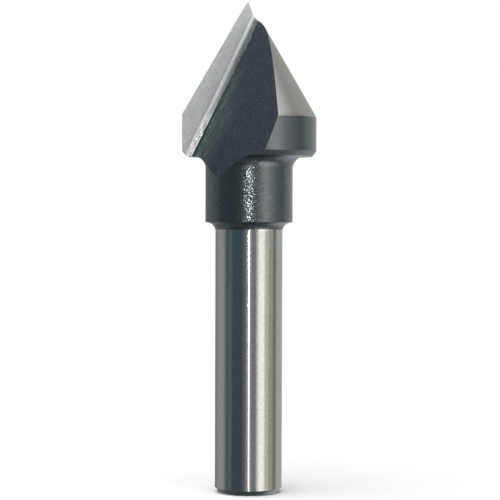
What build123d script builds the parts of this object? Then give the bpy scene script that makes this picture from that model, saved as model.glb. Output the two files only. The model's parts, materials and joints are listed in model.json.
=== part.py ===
from build123d import *
import os
from math import cos, radians, sin, tan

# A 60 degree countersink with a single flute, turned and ground from one bar of steel.
# Millimetres. The origin is the middle of the flat shank end and +Z runs to the point.
# The cutting edge lies on the -X side, so the flute opens towards -Y.

# Shank
shank_diameter = 8.0
shank_length = 32.15
shank_end_chamfer = 0.6

# Neck between the shank and the head
neck_diameter = 10.4
neck_length = 7.85
neck_edge_chamfer = 0.1
shank_fillet = 1.05
head_fillet = 1.4

# Head: a short cylinder under the cutting cone
head_diameter = 16.0
head_cylinder_length = 5.0
head_chamfer_width = 0.5
head_chamfer_height = 0.6

# Cutting cone. Its land falls away behind the cutting edge like the turn of a spiral,
# and the spiral's step back lies inside the flute.
point_angle = 60.0
edge_azimuth = 184.0
step_azimuth = 243.0
relief_per_turn = 0.36
spiral_spans = 36

# Flute: a straight groove between the rake face and a wall. The rake face is ground
# with its own corner radius, and from there the milled root bends on into the wall.
# The line where the rake face meets its corner radius leans out from the axis, and
# passes the height of the cone's apex at this place.
face_line_distance = 1.54
face_line_azimuth = 35.6
flute_lean = 26.0
flute_heading = 182.7
rake_face_roll = 59.6
ground_corner_radius = 0.95
ground_corner_turn = 61.0
milled_root_radius = 2.6
milled_root_turn = 20.7

# Most of a step's width that its rounded inner corner may take
fillet_share = 0.96

shank_radius = shank_diameter / 2
neck_radius = neck_diameter / 2
head_radius = head_diameter / 2
cone_slope = tan(radians(point_angle / 2))
head_bottom = shank_length + neck_length
apex_height = head_bottom + head_cylinder_length + head_radius / cone_slope
flute_reach = 2 * (apex_height - shank_length)


def rounded_corner(profile, radius, height, size, step_width):
    """Rounds a turned profile's inner corner at this radius and height, within its step."""
    corner = profile.vertices().sort_by_distance((radius, 0, height))[0]
    return fillet(corner, min(size, fillet_share * step_width))


def turned_blank():
    """The turned shank, neck and head, still cylindrical up to the apex."""
    profile = Plane.XZ * make_face(
        Polyline(
            (0, 0),
            (shank_radius - shank_end_chamfer, 0),
            (shank_radius, shank_end_chamfer),
            (shank_radius, shank_length),
            (neck_radius - neck_edge_chamfer, shank_length),
            (neck_radius, shank_length + neck_edge_chamfer),
            (neck_radius, head_bottom),
            (head_radius - head_chamfer_width, head_bottom),
            (head_radius, head_bottom + head_chamfer_height),
            (head_radius, apex_height),
            (0, apex_height),
            close=True,
        )
    )
    shank_step = neck_radius - neck_edge_chamfer - shank_radius
    head_step = head_radius - head_chamfer_width - neck_radius
    profile = rounded_corner(profile, shank_radius, shank_length, shank_fillet, shank_step)
    profile = rounded_corner(profile, neck_radius, head_bottom, head_fillet, head_step)
    return revolve(profile, Axis.Z)


def land_section(edge_radius, height):
    """One turn of the relieved land: a spiral that shrinks behind the cutting edge."""
    turns = [span / spiral_spans for span in range(spiral_spans + 1)]
    points = []
    for turn in turns:
        azimuth = step_azimuth - 360 * turn
        radius = edge_radius - relief_per_turn * (edge_azimuth - azimuth) / 360
        points.append((radius * cos(radians(azimuth)), radius * sin(radians(azimuth)), height))
    spiral = Edge.make_spline(points, parameters=turns)
    step = Edge.make_line(points[-1], points[0])
    return Face(Wire([spiral, step]))


def relieved_cone():
    """The cutting cone from under the head to the apex, with a small plain tip."""
    base = land_section((apex_height - head_bottom) * cone_slope, head_bottom)
    tip = land_section(relief_per_turn, apex_height - relief_per_turn / cone_slope)
    apex = Vertex(0, 0, apex_height)
    return loft([base, tip], ruled=True) + loft([tip, apex], ruled=True)


def groove_section():
    """The groove across its length: rake face, ground corner, milled root and wall."""
    roll = radians(rake_face_roll)
    face = Line((flute_reach * cos(roll), flute_reach * sin(roll)), (0, 0))
    corner = JernArc(face @ 1, face % 1, ground_corner_radius, ground_corner_turn)
    root = JernArc(corner @ 1, corner % 1, milled_root_radius, milled_root_turn)
    wall = Line(root @ 1, root @ 1 + flute_reach * (root % 1))
    open_side = Line(wall @ 1, face @ 0)
    return make_face([face, corner, root, wall, open_side])


def flute():
    """What the flute removes: a long groove that leans out through the head's side."""
    heading = Vector(cos(radians(flute_heading)), sin(radians(flute_heading)), 0)
    lean = radians(flute_lean)
    face_line = heading * sin(lean) - Vector(0, 0, cos(lean))
    place = Vector(
        face_line_distance * cos(radians(face_line_azimuth)),
        face_line_distance * sin(radians(face_line_azimuth)),
        apex_height,
    )
    across = Vector(0, 0, 1).cross(face_line)
    section = Plane(origin=place, x_dir=across, z_dir=face_line) * groove_section()
    return extrude(section, amount=flute_reach, both=True)


def countersink():
    """The whole tool: one solid."""
    blank = turned_blank()
    head_space = Pos(0, 0, head_bottom) * Cylinder(
        head_diameter, apex_height - head_bottom, align=(Align.CENTER, Align.CENTER, Align.MIN)
    )
    outside_cone = head_space - relieved_cone()
    return blank - outside_cone - flute()


os.makedirs("parts", exist_ok=True)
export_step(countersink(), "parts/countersink.step")
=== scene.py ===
import json
from math import cos, pi, radians, sin, tan

import bpy
from mathutils import Matrix, Vector


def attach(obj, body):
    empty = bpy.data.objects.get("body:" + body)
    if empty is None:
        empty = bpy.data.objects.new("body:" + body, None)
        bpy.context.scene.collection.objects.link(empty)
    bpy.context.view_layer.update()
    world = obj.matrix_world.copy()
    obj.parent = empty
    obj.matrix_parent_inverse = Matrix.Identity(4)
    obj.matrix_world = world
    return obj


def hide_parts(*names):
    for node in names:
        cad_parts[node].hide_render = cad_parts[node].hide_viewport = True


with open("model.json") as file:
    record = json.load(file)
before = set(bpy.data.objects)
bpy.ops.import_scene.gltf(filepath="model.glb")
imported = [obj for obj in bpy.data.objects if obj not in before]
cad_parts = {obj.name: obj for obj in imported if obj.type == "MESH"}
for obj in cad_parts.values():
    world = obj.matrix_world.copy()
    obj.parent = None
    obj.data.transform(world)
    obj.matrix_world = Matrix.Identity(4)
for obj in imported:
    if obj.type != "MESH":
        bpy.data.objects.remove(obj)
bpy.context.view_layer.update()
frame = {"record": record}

# A 60 degree countersink with a single flute, in metres. The origin is the middle of the
# flat shank end, +Z runs to the point and the cutting edge lies on the -X side.
MM = 0.001
NODE = "countersink"

# Shank, from the mount that a chuck or collet takes
shank = {mount["name"]: mount for mount in frame["record"]["mounts"]}["shank"]
SHANK_RADIUS = shank["dims"]["r_mm"] * MM
SHANK_FILLET = 1.05 * MM
END_CHAMFER = shank["pos_m"][2] - shank["dims"]["length_mm"] * MM / 2
FILLET_START = shank["pos_m"][2] + shank["dims"]["length_mm"] * MM / 2
SHANK_LENGTH = FILLET_START + SHANK_FILLET
GROUND_INTO_FILLET = 0.3 * MM
GROUND_TOP = FILLET_START + GROUND_INTO_FILLET

# Neck and head
NECK_RADIUS = 5.2 * MM
NECK_LENGTH = 7.85 * MM
NECK_CHAMFER = 0.1 * MM
HEAD_FILLET = 1.4 * MM
HEAD_RADIUS = 8.0 * MM
HEAD_CYLINDER = 5.0 * MM
HEAD_CHAMFER_WIDTH = 0.5 * MM
HEAD_CHAMFER_HEIGHT = 0.6 * MM
HEAD_BOTTOM = SHANK_LENGTH + NECK_LENGTH

# Cutting cone: its land shrinks behind the cutting edge, and the step back is in the flute
POINT_ANGLE = radians(60)
CONE_SLOPE = tan(POINT_ANGLE / 2)
EDGE_AZIMUTH = radians(184)
STEP_AZIMUTH = radians(243)
RELIEF_PER_TURN = 0.36 * MM
APEX = HEAD_BOTTOM + HEAD_CYLINDER + HEAD_RADIUS / CONE_SLOPE
TIP_HEIGHT = APEX - RELIEF_PER_TURN / CONE_SLOPE

# Flute: where the rake face meets its ground corner at the apex's height, the direction
# of that line, and the groove's section from the rake face round to the wall
FACE_LINE_DISTANCE = 1.54 * MM
FACE_LINE_AZIMUTH = radians(35.6)
FLUTE_LEAN = radians(26.0)
FLUTE_HEADING = radians(182.7)
RAKE_ROLL = radians(59.6)
GROUND_RADIUS = 0.95 * MM
GROUND_TURN = radians(61.0)
MILLED_RADIUS = 2.6 * MM
MILLED_TURN = radians(20.7)
FLUTE_REACH = 60 * MM

# How finely the surfaces are divided
AROUND = 360
CONE_ROWS = 40
TIP_ROWS = 6
EDGE_ROUND = 0.05 * MM
EDGE_STEPS = 4
FILLET_STEPS = 14
GROUND_STEPS = 24
MILLED_STEPS = 10

# Shading: where faces meet at more than this angle the edge is sharp, and elsewhere the
# large faces decide the direction of the shading, at the weight's highest value
SHARP_ANGLE = radians(20)
LARGE_FACE_WEIGHT = 100

# The surfaces, as material places on the mesh
PLACES = (
    "ground_shank",
    "black_turned",
    "black_head",
    "ground_land",
    "ground_face",
    "ground_corner",
    "black_flute",
)
PLACE = {name: index for index, name in enumerate(PLACES)}


# The tool's shape


def mesh_object(name, vertices, faces, places, materials):
    """A mesh object in the scene, with a material place for each face."""
    mesh = bpy.data.meshes.new(name)
    mesh.from_pydata(vertices, [], faces)
    for material in materials:
        mesh.materials.append(material)
    mesh.polygons.foreach_set("material_index", [PLACE[place] for place in places])
    mesh.update()
    made = bpy.data.objects.new(name, mesh)
    bpy.context.scene.collection.objects.link(made)
    return made


def rounded_corner(before, corner, after, radius, steps):
    """Points of an arc that rounds a corner of a flat outline, from side to side."""
    back = (before - corner).normalized()
    on = (after - corner).normalized()
    half = back.angle(on) / 2
    reach = radius / tan(half)
    centre = corner + (back + on).normalized() * (radius / sin(half))
    start = corner + back * reach - centre
    end = corner + on * reach - centre
    turn = start.angle(end)
    points = []
    for step in range(steps + 1):
        share = step / steps
        mixed = start * sin((1 - share) * turn) + end * sin(share * turn)
        points.append(centre + mixed / sin(turn))
    return points


def turned_outline():
    """The outline below the cone: (radius, height, place of the stretch that leads there)."""
    # Each corner's radius, height, rounding, and place of the stretch that leads there
    corners = (
        (SHANK_RADIUS - END_CHAMFER, 0, EDGE_ROUND, "black_turned"),
        (SHANK_RADIUS, END_CHAMFER, EDGE_ROUND, "black_turned"),
        (SHANK_RADIUS, SHANK_LENGTH, SHANK_FILLET, "ground_shank"),
        (NECK_RADIUS - NECK_CHAMFER, SHANK_LENGTH, EDGE_ROUND, "black_turned"),
        (NECK_RADIUS, SHANK_LENGTH + NECK_CHAMFER, EDGE_ROUND, "black_turned"),
        (NECK_RADIUS, HEAD_BOTTOM, HEAD_FILLET, "black_turned"),
        (HEAD_RADIUS - HEAD_CHAMFER_WIDTH, HEAD_BOTTOM, EDGE_ROUND, "black_turned"),
        (HEAD_RADIUS, HEAD_BOTTOM + HEAD_CHAMFER_HEIGHT, EDGE_ROUND, "black_head"),
    )
    points = [Vector((0, 0))] + [Vector(corner[:2]) for corner in corners]
    points.append(Vector((HEAD_RADIUS, APEX)))
    places = [corner[3] for corner in corners] + ["black_head"]
    outline = []
    for index, (_, _, size, place) in enumerate(corners):
        steps = EDGE_STEPS if size == EDGE_ROUND else FILLET_STEPS
        arc = rounded_corner(*points[index:index + 3], size, steps)
        outline.append((*arc[0], place))
        for point in arc[1:]:
            ground = END_CHAMFER < point.y <= GROUND_TOP
            outline.append((*point, "ground_shank" if ground else places[index + 1]))
    return outline


def cone_column(azimuth):
    """The cone's outline at one azimuth, from the head's cylinder to under the apex."""
    behind = (EDGE_AZIMUTH - azimuth) / (2 * pi)
    base = APEX - (HEAD_RADIUS + RELIEF_PER_TURN * behind) / CONE_SLOPE
    tip_radius = RELIEF_PER_TURN * (1 - behind)
    column = [(HEAD_RADIUS, base - EDGE_ROUND, "black_head")]
    first = EDGE_ROUND / (TIP_HEIGHT - base)
    for row in range(CONE_ROWS):
        share = first + (1 - first) * row / (CONE_ROWS - 1)
        radius = HEAD_RADIUS + (tip_radius - HEAD_RADIUS) * share
        column.append((radius, base + (TIP_HEIGHT - base) * share, "ground_land"))
    for row in range(1, TIP_ROWS):
        share = row / TIP_ROWS
        height = TIP_HEIGHT + (APEX - TIP_HEIGHT) * share
        column.append((tip_radius * (1 - share), height, "ground_land"))
    return column


def tool_blank(materials):
    """The turned body with its relieved cone, and no flute yet."""
    outline = turned_outline()
    vertices = [(0, 0, 0)]
    faces = []
    places = []
    for index in range(AROUND):
        azimuth = STEP_AZIMUTH - 2 * pi * (index + 0.5) / AROUND
        column = outline + cone_column(azimuth)
        for radius, height, _ in column:
            vertices.append((radius * cos(azimuth), radius * sin(azimuth), height))
    vertices.append((0, 0, APEX))
    rows = len(column)
    for index in range(AROUND):
        here = 1 + index * rows
        there = 1 + (index + 1) % AROUND * rows
        faces.append((0, here, there))
        places.append(column[0][2])
        for row in range(rows - 1):
            faces.append((here + row, here + row + 1, there + row + 1, there + row))
            places.append(column[row + 1][2])
        faces.append((here + rows - 1, len(vertices) - 1, there + rows - 1))
        places.append(column[-1][2])
    return mesh_object("blank", vertices, faces, places, materials)


def flute_axes():
    """The face line's direction, a level direction across it, and the third of the set."""
    heading = Vector((cos(FLUTE_HEADING), sin(FLUTE_HEADING), 0))
    down = heading * sin(FLUTE_LEAN) - Vector((0, 0, cos(FLUTE_LEAN)))
    across = Vector((0, 0, 1)).cross(down).normalized()
    return down, across, down.cross(across)


def flute_place():
    """Where the rake face meets its ground corner, at the apex's height."""
    away = Vector((cos(FACE_LINE_AZIMUTH), sin(FACE_LINE_AZIMUTH), 0))
    return away * FACE_LINE_DISTANCE + Vector((0, 0, APEX))


def turning_arc(start, heading, radius, turn, steps):
    """Points of an arc that leaves a point with this heading and turns left, and its end heading."""
    centre = start + Vector((-sin(heading), cos(heading))) * radius
    points = []
    for step in range(1, steps + 1):
        angle = heading + turn * step / steps
        points.append(centre + Vector((sin(angle), -cos(angle))) * radius)
    return points, heading + turn


def groove_section():
    """The groove across its length: (point, place of the stretch that leads there)."""
    face_end = Vector((cos(RAKE_ROLL), sin(RAKE_ROLL))) * FLUTE_REACH
    start = Vector((0, 0))
    corner, heading = turning_arc(start, RAKE_ROLL + pi, GROUND_RADIUS, GROUND_TURN, GROUND_STEPS)
    root, heading = turning_arc(corner[-1], heading, MILLED_RADIUS, MILLED_TURN, MILLED_STEPS)
    wall_end = root[-1] + Vector((cos(heading), sin(heading))) * FLUTE_REACH
    section = [(face_end, "black_flute"), (start, "ground_face")]
    section += [(point, "ground_corner") for point in corner]
    section += [(point, "black_flute") for point in root]
    return section + [(wall_end, "black_flute")]


def flute_cutter(materials):
    """What the flute removes: a long prism."""
    down, across, third = flute_axes()
    section = groove_section()
    count = len(section)
    vertices = []
    for along in (-FLUTE_REACH, FLUTE_REACH):
        for point, _ in section:
            vertices.append(flute_place() + across * point.x + third * point.y + down * along)
    faces = [tuple(reversed(range(count))), tuple(range(count, 2 * count))]
    places = ["black_flute", "black_flute"]
    for index in range(count):
        after = (index + 1) % count
        faces.append((index, after, after + count, index + count))
        places.append(section[after][1])
    return mesh_object("flute_cutter", vertices, faces, places, materials)


def cut_tool(materials):
    """The finished body: the blank less the flute."""
    blank = tool_blank(materials)
    cutter = flute_cutter(materials)
    cut = blank.modifiers.new("flute", "BOOLEAN")
    cut.operation = "DIFFERENCE"
    cut.solver = "EXACT"
    cut.object = cutter
    bpy.context.view_layer.update()
    graph = bpy.context.evaluated_depsgraph_get()
    mesh = bpy.data.meshes.new_from_object(blank.evaluated_get(graph))
    mesh.name = "countersink_body"
    body = bpy.data.objects.new("countersink_body", mesh)
    bpy.context.scene.collection.objects.link(body)
    bpy.data.objects.remove(blank)
    bpy.data.objects.remove(cutter)
    mesh.polygons.foreach_set("use_smooth", [True] * len(mesh.polygons))
    mesh.set_sharp_from_angle(angle=SHARP_ANGLE)
    weighted = body.modifiers.new("normals", "WEIGHTED_NORMAL")
    weighted.keep_sharp = True
    weighted.weight = LARGE_FACE_WEIGHT
    return body


# Materials

# Tones. Noise mixes the two of a pair.
SHANK_TONES = ((0.62, 0.65, 0.62), (0.67, 0.65, 0.64))
SHANK_DULL_TONE = (0.40, 0.42, 0.41)
TURNED_TONES = ((0.110, 0.130, 0.138), (0.118, 0.130, 0.141))
HEAD_TONES = ((0.120, 0.146, 0.154), (0.142, 0.146, 0.160))
LAND_TONES = ((0.56, 0.56, 0.54), (0.54, 0.51, 0.47))
LAND_LINE_TONE = (0.30, 0.29, 0.28)
FACE_TOP_TONES = ((0.90, 0.93, 0.90), (0.92, 0.91, 0.91))
# Painted light: the rake face's low tones are lighter, to even out the shade on its lower part
FACE_LOW_PAINTED_LIGHT_TONES = ((0.98, 0.99, 0.98), (1.0, 0.98, 0.98))
FACE_WORN_TONE = (0.70, 0.70, 0.71)
CORNER_TONES = ((0.52, 0.56, 0.58), (0.56, 0.58, 0.59))
# Painted highlight: a light band along the ground corner
CORNER_PAINTED_HIGHLIGHT_TONE = (0.72, 0.75, 0.75)
# Painted light: the ground corner's lower end is painted lighter
CORNER_END_PAINTED_LIGHT_TONE = (0.85, 0.86, 0.85)
# Painted shade: a blotchy darker grey band on the ground corner's outer part, fading down the flute
CORNER_PAINTED_SHADE_TONES = ((0.25, 0.28, 0.28), (0.20, 0.22, 0.22))
FLUTE_TONES = ((0.029, 0.053, 0.067), (0.040, 0.050, 0.069))
FLUTE_GRAIN_TONE = (0.068, 0.092, 0.106)
# Painted light: a lighter band with streaks, where the concave flute catches light near the ground corner
FLUTE_PAINTED_LIGHT_TONES = ((0.096, 0.140, 0.142), (0.20, 0.24, 0.245))
# Painted shade: a dark stripe in the crease beside the ground corner
FLUTE_CREASE_SHADE_TONE = (0.012, 0.022, 0.022)
FLUTE_RIM_TONE = (0.15, 0.17, 0.17)

# Stretches down the flute from the apex's height, in millimetres: (from, to) for a share
# that rises from 0 to 1, or (from, to, value before, value after)
# Painted light on the rake face rises over this stretch
FACE_PAINTED_LIGHT_RISES = (3.0, 10.0)
# The painted shade on the ground corner fades over this stretch
PAINTED_SHADE_FADES = (6.5, 15.5, 1.0, 0.0)
# Painted light on the ground corner's lower end rises over this stretch
CORNER_PAINTED_LIGHT_RISES = (13.0, 18.0)
CORNER_ROUGHNESS = (15.0, 18.0, 0.40, 0.33)
SPARKLE_RISES = (12.0, 17.0)
SPARKLE_FADES = (19.5, 21.0, 1.0, 0.3)
# The flute's bands of painted light rise over these stretches
INNER_PAINTED_LIGHT_RISES = (5.0, 14.0, 0.15, 1.0)
OUTER_PAINTED_LIGHT_RISES = (10.0, 16.0)
SCALLOPS_END = (9.0, 12.0, 1.0, 0.0)
# The painted crease shade narrows and darkens over these stretches
CREASE_SHADE_NARROWS = (12.0, 16.0, 1.2, 0.85)
CREASE_SHADE_DARKENS = (10.0, 16.0, 0.4, 0.8)

# The same past the rake face's edge, and a band of painted highlight there: (from, to, soft margin)
PAINTED_SHADE_STARTS = (0.38, 0.48)
PAINTED_SHADE_DARKENS = (0.45, 0.70)
CORNER_PAINTED_HIGHLIGHT = (0.16, 0.34, 0.10)

# The same off the rake face's plane, out into the flute, for the bands of painted light and the rim. The
# scallops move the rim and the painted crease shade out by a distance between two values. The painted
# crease shade fades from one distance to another, which narrows down the flute.
INNER_PAINTED_LIGHT = (0.9, 2.7, 1.0, 0.0)
OUTER_PAINTED_LIGHT = (2.2, 4.8, 0.5, 0.0)
RIM = (0.42, 0.49, 1.0, 0.0)
SCALLOPS = (0.02, 0.22)
CREASE_SHADE_FADE_START = 0.60

# How far the rake face's lines run down the flute for each millimetre across it
FACE_LINE_SLANT = 0.9

# Most of a noise's values lie between these limits
NOISE_MIDDLE = (0.35, 0.65)

# Ground lines run round the axis, so their highlights stretch a quarter turn from there
ANISOTROPY = 0.5
QUARTER_TURN = 0.25

# The oil film that lies on black oxide
FILM_ROUGHNESS = 0.5
FILM_IOR = 1.6


class Graph:
    """Adds nodes to a material's or world's tree. Inputs are plain values or other outputs."""

    def __init__(self, owner):
        owner.use_nodes = True
        self.tree = owner.node_tree
        self.tree.nodes.clear()

    def node(self, kind, inputs=None, **settings):
        made = self.tree.nodes.new(kind)
        for name, value in settings.items():
            setattr(made, name, value)
        for socket, value in (inputs or {}).items():
            self.feed(made.inputs[socket], value)
        return made

    def feed(self, socket, value):
        """Links an output to a socket or sets its plain value, a colour being three numbers."""
        if isinstance(value, bpy.types.NodeSocket):
            self.tree.links.new(value, socket)
        elif socket.type == "RGBA":
            socket.default_value = (*value, 1.0)
        else:
            socket.default_value = value

    def math(self, operation, *values):
        made = self.node("ShaderNodeMath", dict(enumerate(values)), operation=operation)
        return made.outputs[0]

    def times(self, first, *others):
        """The product of values."""
        for other in others:
            first = self.math("MULTIPLY", first, other)
        return first

    def plus(self, first, *others):
        """The sum of values."""
        for other in others:
            first = self.math("ADD", first, other)
        return first

    def vector(self, operation, *values):
        made = self.node("ShaderNodeVectorMath", dict(enumerate(values)), operation=operation)
        return made.outputs["Value" if operation in ("DOT_PRODUCT", "LENGTH") else "Vector"]

    def span(self, value, low, high, to_low=0.0, to_high=1.0):
        """A value between two limits, turned smoothly into a value between two others."""
        inputs = {0: value, 1: low, 2: high, 3: to_low, 4: to_high}
        made = self.node("ShaderNodeMapRange", inputs, interpolation_type="SMOOTHSTEP")
        return made.outputs[0]

    def window(self, value, low, high, soft):
        """1 between two limits, falling to 0 over a soft margin outside them."""
        rise = self.span(value, low - soft, low)
        return self.times(rise, self.span(value, high, high + soft, 1.0, 0.0))

    def mix(self, share, first, second):
        """One tone turned into another by a share from 0 to 1."""
        made = self.node("ShaderNodeMix", {0: share, 6: first, 7: second}, data_type="RGBA")
        return made.outputs[2]

    def noise(self, place, cells, detail=2.0):
        """Noise from 0 to 1 at so many cells a millimetre, by one number or along each axis."""
        if isinstance(cells, tuple):
            place = self.vector("MULTIPLY", place, cells)
            cells = 1.0
        inputs = {"Vector": place, "Scale": cells, "Detail": detail}
        return self.node("ShaderNodeTexNoise", inputs).outputs["Fac"]

    def object_place(self):
        """The place on the tool, in millimetres."""
        place = self.node("ShaderNodeTexCoord").outputs["Object"]
        return self.vector("MULTIPLY", place, (1 / MM, 1 / MM, 1 / MM))

    def flute_measures(self, place):
        """Millimetres past the rake face's edge, off its plane and down the flute."""
        down, across, third = flute_axes()
        past = -across * cos(RAKE_ROLL) - third * sin(RAKE_ROLL)
        off = across * sin(RAKE_ROLL) - third * cos(RAKE_ROLL)
        from_edge = self.vector("SUBTRACT", place, tuple(flute_place() / MM))
        return [self.vector("DOT_PRODUCT", from_edge, tuple(axis)) for axis in (past, off, down)]

    def along_flute(self, measures, cells, detail=2.0):
        """Noise laid out by the flute's measures, with its own cells for each of the three."""
        place = self.node("ShaderNodeCombineXYZ", dict(enumerate(measures))).outputs[0]
        return self.noise(place, cells, detail)

    def grains(self, place, cells, tilt):
        """The surface's normal, tipped at random from one small flat grain to the next."""
        cell_tones = self.node("ShaderNodeTexVoronoi", {"Vector": place, "Scale": cells}).outputs["Color"]
        offset = self.vector("SUBTRACT", cell_tones, (0.5, 0.5, 0.5))
        tip = self.vector("MULTIPLY", offset, self.times(self.vector("LENGTH", offset), tilt))
        normal = self.node("ShaderNodeNewGeometry").outputs["Normal"]
        return self.vector("NORMALIZE", self.vector("ADD", normal, tip))

    def metal(self, tone, roughness, height, depth, anisotropy=0.0, film=0.0, normal=None):
        """The metal's shader. A height of 1 stands for depth in metres."""
        relief = {"Height": height, "Distance": depth}
        if normal is not None:
            relief["Normal"] = normal
        bump = self.node("ShaderNodeBump", relief).outputs[0]
        surface = {
            "Base Color": tone,
            "Metallic": 1.0,
            "Roughness": roughness,
            "Anisotropic": anisotropy,
            "Anisotropic Rotation": QUARTER_TURN,
            "Coat Weight": film,
            "Coat Roughness": FILM_ROUGHNESS,
            "Coat IOR": FILM_IOR,
            "Coat Normal": bump,
            "Normal": bump,
        }
        if anisotropy:
            tangent = self.node("ShaderNodeTangent", direction_type="RADIAL", axis="Z")
            surface["Tangent"] = tangent.outputs[0]
        shader = self.node("ShaderNodeBsdfPrincipled", surface)
        self.node("ShaderNodeOutputMaterial", {"Surface": shader.outputs[0]})


def ground_shank(graph):
    """Bright ground cylinder: fine lines around it, a mottled tone and a few small pits."""
    place = graph.object_place()
    lines = graph.noise(place, cells=(0.15, 0.15, 9.0), detail=3.0)
    grain = graph.noise(place, cells=5.0)
    pits = graph.span(graph.noise(place, cells=2.6, detail=1.0), 0.68, 0.76)
    mottle = graph.noise(place, cells=(4.0, 4.0, 3.0), detail=1.0)
    dull = graph.span(mottle, *NOISE_MIDDLE, 0.26, 0.0)
    tone = graph.mix(graph.noise(place, cells=0.35), *SHANK_TONES)
    tone = graph.mix(dull, tone, SHANK_DULL_TONE)
    roughness = graph.span(lines, 0.3, 0.7, 0.06, 0.10)
    height = graph.plus(graph.times(lines, 0.5), grain, graph.times(pits, -0.8))
    graph.metal(tone, roughness, height, depth=0.0008 * MM, anisotropy=ANISOTROPY)


def black_turned(graph):
    """Black oxide over a turned and blasted surface, with a grain that glints."""
    place = graph.object_place()
    grain = graph.noise(place, cells=4.6, detail=0.0)
    glints = graph.grains(place, cells=12.5, tilt=0.37)
    tone = graph.mix(graph.noise(place, cells=0.5), *TURNED_TONES)
    graph.metal(tone, 0.17, grain, depth=0.006 * MM, film=1.0, normal=glints)


def black_head(graph):
    """Black oxide over the head's ground cylinder, with fine lines around it."""
    place = graph.object_place()
    lines = graph.noise(place, cells=(0.2, 0.2, 7.0), detail=3.0)
    tone = graph.mix(graph.noise(place, cells=0.5), *HEAD_TONES)
    graph.metal(tone, 0.3, lines, depth=0.005 * MM, anisotropy=ANISOTROPY, film=0.8)


def ground_land(graph):
    """The cone's ground land: dark lines around it and a warm tone."""
    place = graph.object_place()
    lines = graph.noise(place, cells=(0.3, 0.3, 8.0), detail=3.0)
    dark = graph.span(lines, 0.3, 0.7, 0.15, 0.0)
    tone = graph.mix(graph.noise(place, cells=0.6), *LAND_TONES)
    tone = graph.mix(dark, tone, LAND_LINE_TONE)
    graph.metal(tone, 0.30, lines, depth=0.006 * MM, anisotropy=ANISOTROPY)


def ground_face(graph):
    """The rake face: lines slanting across it, fine grain, broader worn spots, and painted light that
    makes it lighter down the flute.
    """
    place = graph.object_place()
    past, _, down = graph.flute_measures(place)
    slant = graph.plus(down, graph.times(past, FACE_LINE_SLANT))
    lines = graph.along_flute((slant, past, 0.0), cells=(6.5, 1.0, 0.0))
    grain = graph.noise(place, cells=3.5)
    spots = graph.noise(place, cells=1.1)
    tint = graph.span(graph.noise(place, cells=0.6), *NOISE_MIDDLE)
    top = graph.mix(tint, *FACE_TOP_TONES)
    low = graph.mix(tint, *FACE_LOW_PAINTED_LIGHT_TONES)
    wear = graph.plus(
        graph.span(lines, *NOISE_MIDDLE, 0.18, 0.0),
        graph.span(grain, *NOISE_MIDDLE, 0.16, 0.0),
        graph.span(spots, 0.38, 0.62, 0.16, 0.0),
    )
    # Painted light: the face is painted lighter down the flute, to even out its shading
    tone = graph.mix(graph.span(down, *FACE_PAINTED_LIGHT_RISES), top, low)
    tone = graph.mix(wear, tone, FACE_WORN_TONE)
    graph.metal(tone, 0.82, graph.plus(lines, grain), depth=0.012 * MM)


def ground_corner(graph):
    """The rake face's ground corner: lines along it, a painted highlight band, a blotchy band of painted
    shade, and a sparkling end that painted light makes lighter.
    """
    place = graph.object_place()
    measures = graph.flute_measures(place)
    past, _, down = measures
    lines = graph.along_flute(measures, cells=(9.0, 9.0, 1.2))
    grain = graph.along_flute(measures, cells=(5.5, 5.5, 4.0), detail=1.0)
    # Painted shade: a blotchy darker grey band on the corner's outer part, fading down the flute
    painted_shade = graph.times(
        graph.span(past, *PAINTED_SHADE_STARTS),
        graph.span(down, *PAINTED_SHADE_FADES),
        graph.span(grain, 0.15, 0.60, 0.7, 1.0),
    )
    painted_shade_tone = graph.mix(graph.span(past, *PAINTED_SHADE_DARKENS), *CORNER_PAINTED_SHADE_TONES)
    tone = graph.mix(graph.noise(place, cells=0.6), *CORNER_TONES)
    # Painted highlight: a light band along the corner, past the rake face's edge
    tone = graph.mix(graph.window(past, *CORNER_PAINTED_HIGHLIGHT), tone, CORNER_PAINTED_HIGHLIGHT_TONE)
    tone = graph.mix(painted_shade, tone, painted_shade_tone)
    # Painted light: the corner turns lighter towards its lower end
    tone = graph.mix(graph.span(down, *CORNER_PAINTED_LIGHT_RISES), tone, CORNER_END_PAINTED_LIGHT_TONE)
    tilt = graph.times(graph.span(down, *SPARKLE_RISES), graph.span(down, *SPARKLE_FADES))
    sparkle = graph.grains(place, cells=10.5, tilt=tilt)
    roughness = graph.span(down, *CORNER_ROUGHNESS)
    graph.metal(tone, roughness, lines, depth=0.002 * MM, normal=sparkle)


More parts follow.
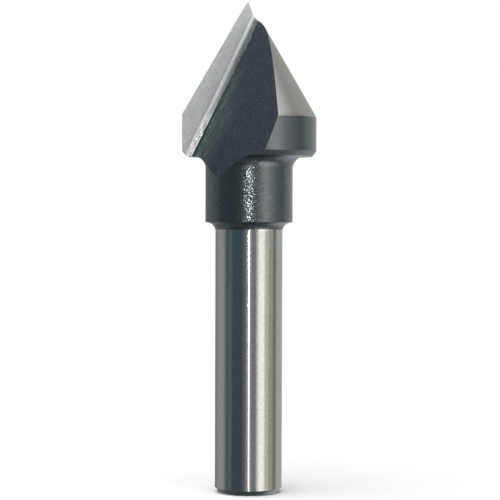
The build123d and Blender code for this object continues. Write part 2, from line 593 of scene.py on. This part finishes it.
def black_flute(graph):
    """Black oxide in the milled flute. From the ground corner out it has a scalloped lighter rim, a dark
    stripe of painted shade in the crease, and a band of painted light with streaks that fades in two
    steps."""
    place = graph.object_place()
    measures = graph.flute_measures(place)
    _, off, down = measures
    grain = graph.noise(place, cells=5.0, detail=1.0)
    streaks = graph.span(graph.along_flute(measures, cells=(4.0, 4.0, 0.9)), 0.45, 0.68)
    tint = graph.span(graph.noise(place, cells=0.45, detail=3.0), 0.38, 0.62)
    tone = graph.mix(tint, *FLUTE_TONES)
    tone = graph.mix(graph.span(grain, 0.40, 0.70), tone, FLUTE_GRAIN_TONE)
    # Painted light: two lighter bands out from the ground corner, where the concave flute catches light
    inner_light = graph.times(graph.span(off, *INNER_PAINTED_LIGHT), graph.span(down, *INNER_PAINTED_LIGHT_RISES))
    outer_light = graph.times(graph.span(off, *OUTER_PAINTED_LIGHT), graph.span(down, *OUTER_PAINTED_LIGHT_RISES))
    painted_light = graph.math("MAXIMUM", inner_light, outer_light)
    tone = graph.mix(painted_light, tone, graph.mix(streaks, *FLUTE_PAINTED_LIGHT_TONES))
    waves = graph.along_flute(measures, cells=(0.5, 0.5, 1.8), detail=0.0)
    waves = graph.span(waves, *NOISE_MIDDLE, *SCALLOPS)
    scalloped = graph.math("SUBTRACT", off, graph.times(waves, graph.span(down, *SCALLOPS_END)))
    fade_end = graph.span(down, *CREASE_SHADE_NARROWS)
    # Painted shade: a dark stripe in the crease beside the ground corner, narrowing down the flute
    crease_shade = graph.span(scalloped, CREASE_SHADE_FADE_START, fade_end, 1.0, 0.0)
    crease_shade = graph.times(crease_shade, graph.span(down, *CREASE_SHADE_DARKENS))
    tone = graph.mix(crease_shade, tone, FLUTE_CREASE_SHADE_TONE)
    tone = graph.mix(graph.span(scalloped, *RIM), tone, FLUTE_RIM_TONE)
    graph.metal(tone, 0.36, grain, depth=0.012 * MM, film=0.2)


def tool_materials():
    """One material for each surface, in the order of their places."""
    makers = (
        ground_shank, black_turned, black_head, ground_land,
        ground_face, ground_corner, black_flute,
    )
    made = []
    for name, maker in zip(PLACES, makers):
        material = bpy.data.materials.new(name)
        maker(Graph(material))
        made.append(material)
    return made


# Studio

# Soft panels round the tool: (from, to, level, tint), with a fade from each to the next.
# Azimuths are in degrees from the camera's side and positive to its right, so the panels
# start behind the tool and pass the camera's left, the camera and its right.
PANELS = (
    (-180, -138, 0.27, (0.98, 1.01, 1.0)),
    (-127, -98, 0.37, (0.97, 1.02, 1.0)),
    (-82, -74, 0.125, (0.86, 1.05, 1.08)),
    (-69, -64, 0.145, (0.86, 1.06, 1.10)),
    (-56, -23, 0.088, (0.72, 1.06, 1.20)),
    (-18, -13, 0.14, (0.92, 1.02, 1.08)),
    (-7, -2, 0.34, (0.98, 1.02, 1.02)),
    (3, 8, 0.40, (0.99, 1.01, 1.0)),
    (11, 23, 0.25, (0.98, 1.02, 1.01)),
    (38, 52, 1.30, (1.01, 1.01, 0.95)),
    (60, 68, 0.66, (1.0, 1.0, 1.0)),
    (76, 87, 0.42, (1.0, 1.0, 1.0)),
    (97, 100, 0.20, (1.0, 1.03, 1.0)),
    (116, 180, 0.50, (1.0, 1.02, 0.97)),
)
HIGHEST_LEVEL = max(level for _, _, level, _ in PANELS)

# Heights around the tool, as the upward share of a direction: (from, to, soft margin)
OVERHEAD = (0.84, 1.0, 0.20)
ABOVE_HORIZON = (0.01, 0.14, 0.03)
BELOW_HORIZON = (-0.17, -0.02, 0.03)
FAR_BELOW = (-1.0, -0.24, 0.06)
UNDERNEATH = (-1.0, -0.90, 0.35)

# Tints on parts of the panels: (azimuths as (from, to, soft margin), heights, tint)
COOL = (0.88, 1.05, 1.14)
TINTS = (
    ((62, 106, 10), BELOW_HORIZON, (1.05, 1.01, 0.85)),
    ((-180, -60, 15), ABOVE_HORIZON, COOL),
    ((60, 180, 15), ABOVE_HORIZON, COOL),
    ((90, 124, 10), ABOVE_HORIZON, (1.0, 1.13, 1.19)),
    ((-66, -16, 6), ABOVE_HORIZON, (0.74, 1.30, 1.40)),
    ((116, 180, 12), ABOVE_HORIZON, (1.26, 1.22, 1.18)),
    ((-104, -70, 8), ABOVE_HORIZON, (0.40, 0.66, 0.68)),
    ((40, 90, 10), FAR_BELOW, (1.84, 1.78, 1.77)),
)

# Other light in place of the panels: (azimuths, heights, light)
ALL_ROUND = (-180, 180, 1)
CARDS = (
    (ALL_ROUND, OVERHEAD, (1.0, 1.0, 1.0)),
    (ALL_ROUND, UNDERNEATH, (0.165, 0.205, 0.22)),
    ((130, 160, 20), (-0.75, -0.48, 0.15), (0.72, 0.76, 0.80)),
)

# A narrow strip light on the camera's side. It leans by so many degrees of azimuth for a
# height of 1, and below the horizon it gives only a small share of its light.
STRIP_LIGHT = (50.0, 50.0, 50.0)
STRIP_AZIMUTHS = (-1.5, 1.6, 0.4)
STRIP_HEIGHTS = (-0.5, 0.04, 0.06)
STRIP_LEAN = 7.0
STRIP_SHARES = (-0.03, 0.015, 0.059, 1.0)

WHITE = (1.0, 1.0, 1.0)


def patch(graph, azimuth, height, azimuths, heights):
    """1 on the patch between these azimuths and heights, and 0 away from it."""
    return graph.times(graph.window(azimuth, *azimuths), graph.window(height, *heights))


def panel_light(graph, azimuth):
    """The panels' light at an azimuth. The ramp holds it as a share of the highest level."""
    turn = graph.plus(graph.math("DIVIDE", azimuth, 360.0), 0.5)
    ramp = graph.node("ShaderNodeValToRGB", {0: turn})
    stops = ramp.color_ramp.elements
    stops.remove(stops[1])
    for start, end, level, tint in PANELS:
        shade = [level * part / HIGHEST_LEVEL for part in tint]
        for azimuth_stop in (start, end):
            place = azimuth_stop / 360 + 0.5
            stop = stops[0] if azimuth_stop == -180 else stops.new(place)
            stop.position = place
            stop.color = (*shade, 1.0)
    return graph.vector("MULTIPLY", ramp.outputs[0], (HIGHEST_LEVEL,) * 3)


def studio_world():
    """Panels and a narrow strip light, light from above and below, plain white for the camera."""
    world = bpy.data.worlds.new("studio")
    graph = Graph(world)
    direction = graph.node("ShaderNodeTexCoord").outputs["Generated"]
    rightward, backward, height = graph.node("ShaderNodeSeparateXYZ", {0: direction}).outputs
    forward = graph.times(backward, -1.0)
    azimuth = graph.math("DEGREES", graph.math("ARCTAN2", rightward, forward))
    shade = panel_light(graph, azimuth)
    for azimuths, heights, tint in TINTS:
        tinted = graph.vector("MULTIPLY", shade, tint)
        shade = graph.mix(patch(graph, azimuth, height, azimuths, heights), shade, tinted)
    for azimuths, heights, light in CARDS:
        shade = graph.mix(patch(graph, azimuth, height, azimuths, heights), shade, light)
    leaning = graph.plus(azimuth, graph.times(height, STRIP_LEAN))
    strip = patch(graph, leaning, height, STRIP_AZIMUTHS, STRIP_HEIGHTS)
    strip = graph.times(strip, graph.span(height, *STRIP_SHARES))
    shade = graph.mix(strip, shade, STRIP_LIGHT)
    seen = graph.node("ShaderNodeLightPath").outputs["Is Camera Ray"]
    shade = graph.mix(seen, shade, WHITE)
    light = graph.node("ShaderNodeBackground", {"Color": shade})
    graph.node("ShaderNodeOutputWorld", {"Surface": light.outputs[0]})
    bpy.context.scene.world = world


def studio_floor():
    """A pale floor that fades into the white background away from the tool."""
    radius = 1.2
    count = 64
    floor_tone = (0.93, 0.93, 0.93)
    fade_in_mm = (25.0, 110.0)
    angles = [2 * pi * index / count for index in range(count)]
    rim = [(radius * cos(angle), radius * sin(angle), 0) for angle in angles]
    mesh = bpy.data.meshes.new("floor")
    mesh.from_pydata(rim, [], [tuple(range(count))])
    floor = bpy.data.objects.new("floor", mesh)
    bpy.context.scene.collection.objects.link(floor)
    material = bpy.data.materials.new("floor")
    graph = Graph(material)
    distance = graph.vector("LENGTH", graph.object_place())
    seen = graph.node("ShaderNodeLightPath").outputs["Is Camera Ray"]
    fade = graph.times(seen, graph.span(distance, *fade_in_mm))
    plain = graph.node("ShaderNodeBsdfDiffuse", {"Color": floor_tone})
    white = graph.node("ShaderNodeEmission", {"Color": WHITE})
    surface = graph.node("ShaderNodeMixShader", {0: fade, 1: plain.outputs[0], 2: white.outputs[0]})
    graph.node("ShaderNodeOutputMaterial", {"Surface": surface.outputs[0]})
    mesh.materials.append(material)
    floor.visible_glossy = False


def overhead_lamp():
    """A square area lamp above the tool, to the camera's left, that faces the tool's middle."""
    place = Vector((-0.12, -0.10, 0.36))
    aim = Vector((0, 0, 0.03))
    data = bpy.data.lights.new("overhead", "AREA")
    data.size = 0.45
    data.energy = 1.2
    lamp = bpy.data.objects.new("overhead", data)
    lamp.location = place
    lamp.rotation_euler = (aim - place).to_track_quat("-Z", "Y").to_euler()
    bpy.context.scene.collection.objects.link(lamp)


def studio_camera():
    """A camera at the photograph's viewing angle. A pixel's size is taken at the tool's axis."""
    pixel_size = 0.1193 * MM
    image_width = 500
    distance = 205.7 * MM
    eye_height = 33.47 * MM
    centre_height = 28.87 * MM
    centre_side = 0.131 * MM
    roll = radians(0.174)
    sensor = 36
    data = bpy.data.cameras.new("camera")
    camera = bpy.data.objects.new("camera", data)
    bpy.context.scene.collection.objects.link(camera)
    bpy.context.scene.camera = camera
    camera.location = (centre_side, -distance, eye_height)
    look = Vector((centre_side, 0, centre_height)) - camera.location
    data.sensor_width = sensor
    data.lens = sensor * look.length / (image_width * pixel_size)
    data.clip_start = 0.01
    data.clip_end = 20
    turn = look.to_track_quat("-Z", "Y").to_matrix() @ Matrix.Rotation(roll, 3, "Z")
    camera.rotation_euler = turn.to_euler()


body = cut_tool(tool_materials())
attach(body, "root")
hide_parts(NODE)

studio_camera()
studio_world()
studio_floor()
overhead_lamp()

bpy.context.scene.view_settings.view_transform = "Standard"
